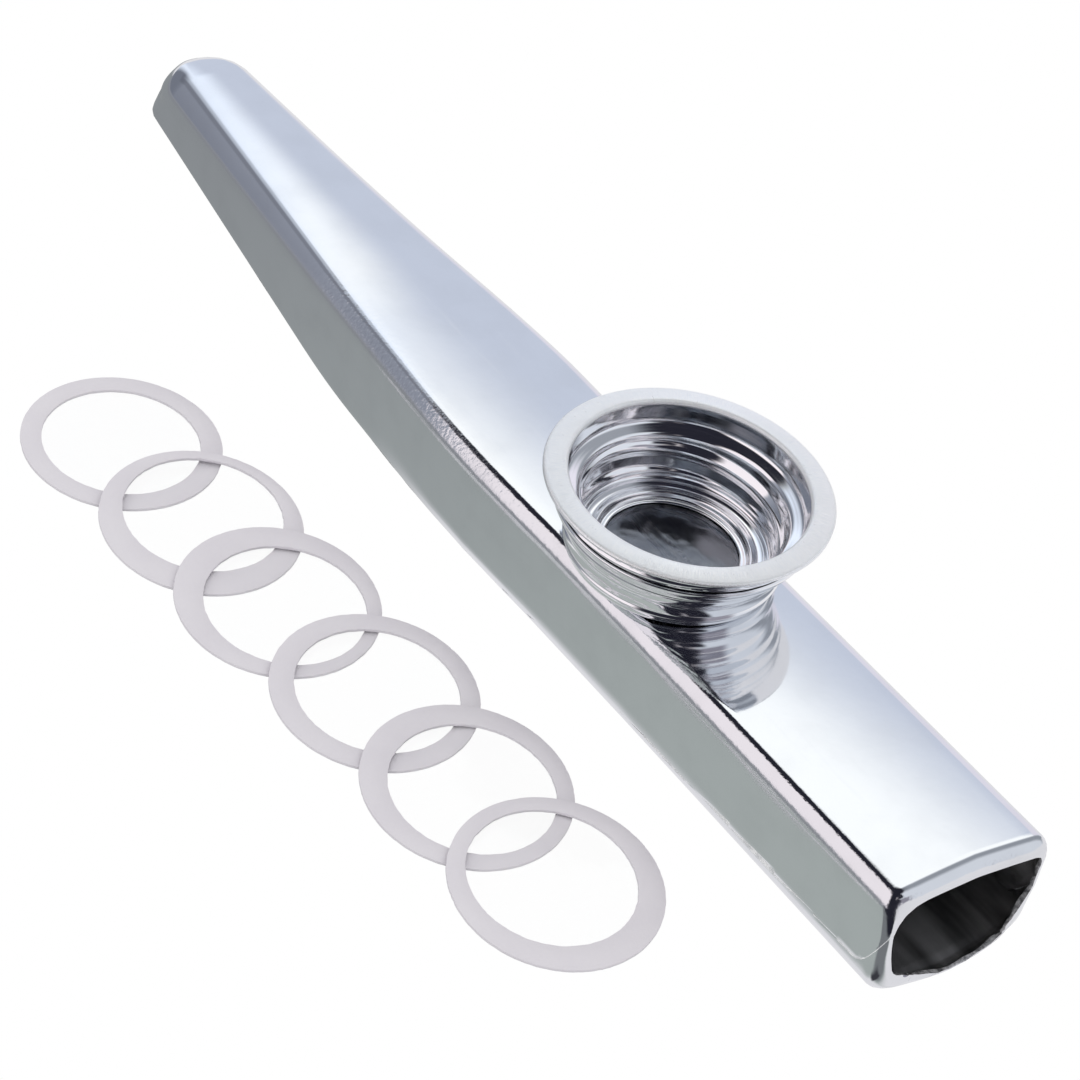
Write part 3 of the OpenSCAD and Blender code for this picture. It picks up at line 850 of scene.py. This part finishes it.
def ragged_edges(obj, seed):
    """Moves the points of a ring's two edges in and out, as a blunt die cuts them."""
    for v in obj.data.vertices:
        x, y, r = v.co.x / MM, v.co.y / MM, math.hypot(v.co.x, v.co.y) / MM
        ragged = noise.noise(Vector((x * LONG_WAVES, y * LONG_WAVES, seed)))
        ragged += SHORT_WAVE_SHARE * noise.noise(
            Vector((x * SHORT_WAVES, y * SHORT_WAVES, seed + SHORT_WAVE_SEED)))
        if r >= PARTING_R:
            ragged = min(ragged, RAGGED_OUT_SHARE)
        scale = (r + RAGGED * ragged) / r
        v.co.x *= scale
        v.co.y *= scale


def paper_ring(name, hole, place, tilt, seed):
    """A die-cut ring with ragged edges, thickened, tipped on its front edge and laid in place."""
    bpy.ops.object.select_all(action="DESELECT")
    bpy.ops.mesh.primitive_circle_add(vertices=RING_POINTS, radius=RING_R * MM, location=(0, 0, 0))
    obj = named(name)
    edit(obj, "EDGE")
    bpy.ops.mesh.select_all(action="SELECT")
    bpy.ops.mesh.extrude_region_move()
    narrower = RING_HOLE_R / RING_R
    bpy.ops.transform.resize(value=(narrower, narrower, 1), center_override=(0, 0, 0))
    bpy.ops.transform.translate(value=(hole[0] * DIE_R * MM, hole[1] * DIE_R * MM, 0))
    leave()
    ragged_edges(obj, seed)
    apply(obj, "SOLIDIFY", thickness=PAPER * MM, offset=1)
    round_edges(obj, PAPER_EDGE, PAPER_ANGLE)
    x, y, z = (c * MM for c in place)
    edge = DIE_R * MM
    tip = Matrix.Rotation(tilt, 4, "Y") @ Matrix.Translation((-edge, 0, z))
    obj.data.transform(Matrix.Translation((x + edge, y, 0)) @ tip)
    paint(obj, paper)
    smooth(obj, PAPER_SMOOTH)
    return obj


step = STEP_X + min(DIE_R * (b[0] - a[0]) for a, b in zip(PLACE_SHARES, PLACE_SHARES[1:]))
TILT = math.atan((STACKED + STACK_GAP) / step)
for i, (place, hole) in enumerate(zip(PLACE_SHARES, HOLE_SHARES)):
    x = FIRST_X + STEP_X * i + DIE_R * place[0]
    y = FIRST_Y + STEP_Y * i + DIE_R * place[1]
    ring = paper_ring(f"spare_paper_{i + 1}", hole, (x, y, SPARE_Z), TILT if i else 0, i)
    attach(ring, f"spare_{i + 1}")
    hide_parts(f"spare_ring_{i + 1}")
fitted = paper_ring("fitted_paper", (0, 0), (0, 0, FITTED_Z), 0, FITTED_SEED)
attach(fitted, "membrane")
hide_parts("membrane_ring")
for name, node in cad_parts.items():
    if "film" in name:
        paint(node, drum_film if name == "membrane_film" else thin_film)

# Floor and studio, in metres. The floor is white to the camera, and toned in reflections
FLOOR_SIZE, FLOOR_Z = 6, -0.00005
WHITE, NIGHT = rgb(1, 1, 1), rgb(0.02, 0.02, 0.03)
GLOOM, SLATE = rgb(0.33, 0.35, 0.41), rgb(0.33, 0.35, 0.39)


def floor_tone(w):
    """What polished metal sees of the floor, by place: beside, under and in front of the body."""
    x, y, _ = w.place().parts()
    # These floor tones are painted light and shade: lighter under, in front of and far from the
    # body and beside the turret
    tone = x.fade(-0.085, 0.03).mix(rgb(0.30, 0.315, 0.325), rgb(0.43, 0.465, 0.45))
    near_cup = x.band(-0.04, -0.03, -0.01, 0.0) * y.fade(-0.019, -0.022)
    tone = near_cup.mix(tone, rgb(0.62, 0.64, 0.64))
    tone = y.fade(-0.035, -0.05).mix(tone, rgb(0.28, 0.29, 0.31))
    under = y.fade(-0.0107, -0.0092) * x.band(-0.035, -0.015, 0.0408, 0.0418)
    front = x.fade(0.0405, 0.0415) * y.fade(-0.0085, -0.0065)
    away = under.larger(front).larger(y.fade(0.005, 0.02))
    tone = away.mix(tone, rgb(0.86, 0.85, 0.87))
    # Painted shade on the floor in front of the body's near side, darkest at its near front corner
    near_front = x.fade(0.041, 0.0425) * y.fade(-0.0072, -0.0088)
    shade = x.fade(0.0475, 0.052).mix(rgb(0.20, 0.21, 0.22), NIGHT)
    tone = near_front.mix(tone, shade)
    corner = x.band(0.0406, 0.0414, 0.0430, 0.0440) * y.band(-0.0116, -0.0100, -0.0091, -0.0086)
    return corner.mix(tone, rgb(0.05, 0.05, 0.06))


def floor_paint():
    """White to the camera and through the film, toned to metal, and matt to other light."""
    made = bpy.data.materials.new("floor_paint")
    made.use_nodes = True
    made.node_tree.nodes.clear()
    w = Wire(made.node_tree)
    camera_ray = w.node("ShaderNodeLightPath")
    matt = w.node("ShaderNodeBsdfDiffuse", inputs={"Color": rgb(0.8, 0.8, 0.8)})
    white = w.node("ShaderNodeEmission", inputs={"Color": WHITE, "Strength": 1.0})
    seen = w.node("ShaderNodeEmission", inputs={"Color": floor_tone(w), "Strength": 1.0})
    lit = w.node("ShaderNodeMixShader", inputs={
        0: camera_ray.other("Is Glossy Ray"), 1: matt, 2: seen})
    whole = w.node("ShaderNodeMixShader", inputs={
        0: camera_ray.larger(camera_ray.other("Is Transmission Ray")), 1: lit, 2: white})
    w.node("ShaderNodeOutputMaterial", inputs={0: whole})
    return made


def facing(toward, azimuth, elevation):
    """How much a direction points to one place of the studio, as a cosine."""
    a, e = math.radians(azimuth), math.radians(elevation)
    aim = (math.sin(a) * math.cos(e), -math.cos(a) * math.cos(e), math.sin(e))
    return toward.node("ShaderNodeVectorMath", {"operation": "DOT_PRODUCT"},
                       {0: toward, 1: aim}, output=1)


def patch(toward, azimuth, elevation, near, far):
    """1 within near degrees of a place of the studio, fading to 0 at far degrees."""
    return facing(toward, azimuth, elevation).fade(math.cos(math.radians(far)),
                                                   math.cos(math.radians(near)))


# Dark patches of the studio, in degrees: azimuth, elevation, and where each fades from and to
DARK_PATCHES = ((0, 90, 20, 31), (66, 14, 18, 28), (44.7, 64, 16, 27), (44.7, 40, 14, 25),
                (44.7, 18, 12, 24))


def studio_sky(toward):
    """The light and dark fields round the kazoo, laid one over another."""
    x, y, z = toward.parts()
    across = y - x.larger(-0.7) * 0.9
    mouth = x.fade(-0.57, -0.65)
    bright = mouth.mix(rgb(1.2, 1.22, 1.22), rgb(1.0, 1.08, 1.22))
    sky = across.fade(0.94, 1.09).mix(bright, rgb(0.66, 0.71, 0.83))
    sky = y.fade(0.72, 0.8).mix(sky, rgb(0.86, 0.83, 0.92))
    sky = x.fade(-0.25, -0.12).mix(sky, rgb(0.75, 0.78, 0.84))
    lip = x.band(-0.26, -0.08, 0.06, 0.4) * y.fade(0.0, 0.4)
    sky = lip.mix(sky, SLATE)
    sky = y.fade(0.0, -0.1).mix(sky, mouth.mix(rgb(1.0, 0.93, 0.96), GLOOM))
    sky = (y.fade(0.22, -0.3) * mouth).mix(sky, GLOOM)
    nose = x.fade(-0.6, -0.86) * y.fade(0.38, 0.1)
    sky = nose.mix(sky, rgb(0.2, 0.215, 0.26))
    horizon = z.fade(0.12, 0.04) * y.fade(0.1, -0.1)
    sky = horizon.mix(sky, rgb(0.30, 0.31, 0.34))
    in_front = x.fade(0.35, 0.6) * z.fade(0.5, 0.4) * y.fade(0.53, 0.35)
    sky = in_front.mix(sky, rgb(0.30, 0.29, 0.34))
    overhead = y.band(-0.3, -0.2, 0.08, 0.18) * z.fade(0.45, 0.6) * (1 - mouth * 0.75)
    for place in DARK_PATCHES:
        overhead = overhead.larger(patch(toward, *place))
    return overhead.mix(sky, NIGHT)


def studio():
    """The world: plain white to the camera and to matt surfaces, and the fields to metal."""
    world = bpy.data.worlds.new("studio")
    bpy.context.scene.world = world
    world.use_nodes = True
    world.node_tree.nodes.clear()
    w = Wire(world.node_tree)
    sky = studio_sky(w.node("ShaderNodeTexCoord", output=0))
    fields = w.node("ShaderNodeBackground", inputs={0: sky, 1: 1.0})
    plain = w.node("ShaderNodeBackground", inputs={0: WHITE, 1: 1.0})
    camera_ray = w.node("ShaderNodeLightPath")
    level = camera_ray.larger(camera_ray.other("Is Diffuse Ray"))
    mixed = w.node("ShaderNodeMixShader", inputs={0: level, 1: fields, 2: plain})
    w.node("ShaderNodeOutputWorld", inputs={0: mixed})


bpy.ops.object.select_all(action="DESELECT")
bpy.ops.mesh.primitive_plane_add(size=FLOOR_SIZE, location=(0, 0, FLOOR_Z))
floor = named("floor")
paint(floor, floor_paint())
studio()
